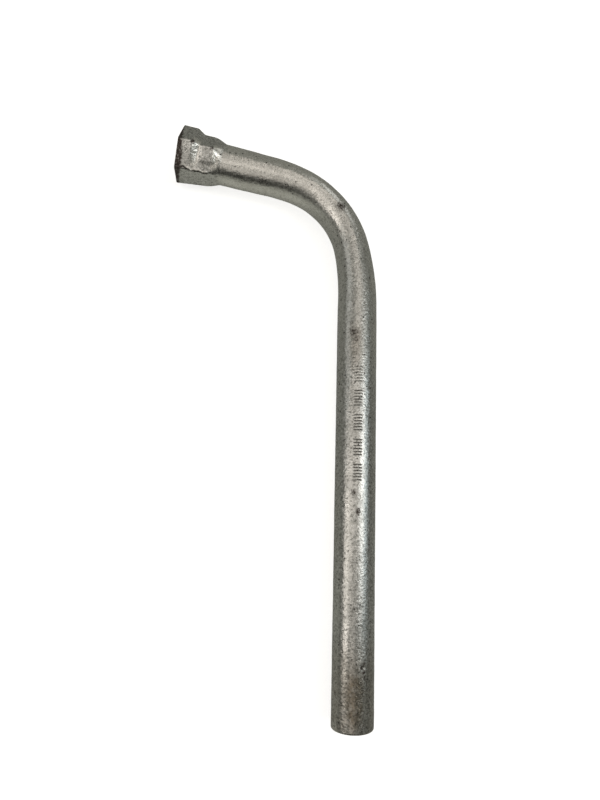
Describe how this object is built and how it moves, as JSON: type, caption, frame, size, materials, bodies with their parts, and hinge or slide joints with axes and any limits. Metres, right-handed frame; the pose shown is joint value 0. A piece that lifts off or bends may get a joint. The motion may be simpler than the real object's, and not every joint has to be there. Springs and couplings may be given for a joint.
{
  "type": "wheel wrench",
  "caption": "Bent tubular steel wheel wrench with a forged hexagon socket at one end and an open round tube as its handle.",
  "frame": {"origin": "centre of the hexagon socket's mouth, in the plane of its rim", "axes": "-X along the socket's axis, out of its mouth; the bend lies in the XY plane, with the handle running off towards -Y; +Z is normal to that plane, up when the tool lies flat"},
  "size_m": [0.1546, 0.2714, 0.0286],
  "materials": {
    "socket_steel": "zinc-plated forged steel, grainy, with dark worn grime at the rim of the mouth",
    "tube_steel": "zinc-plated drawn steel tube, grainy satin with dull cloudy stains and fine dark pits"
  },
  "bodies": {
    "root": {"hex_socket": "socket_steel", "socket_shoulder": "socket_steel", "neck": "tube_steel", "bend": "tube_steel", "handle": "tube_steel"}
  },
  "joints": []
}
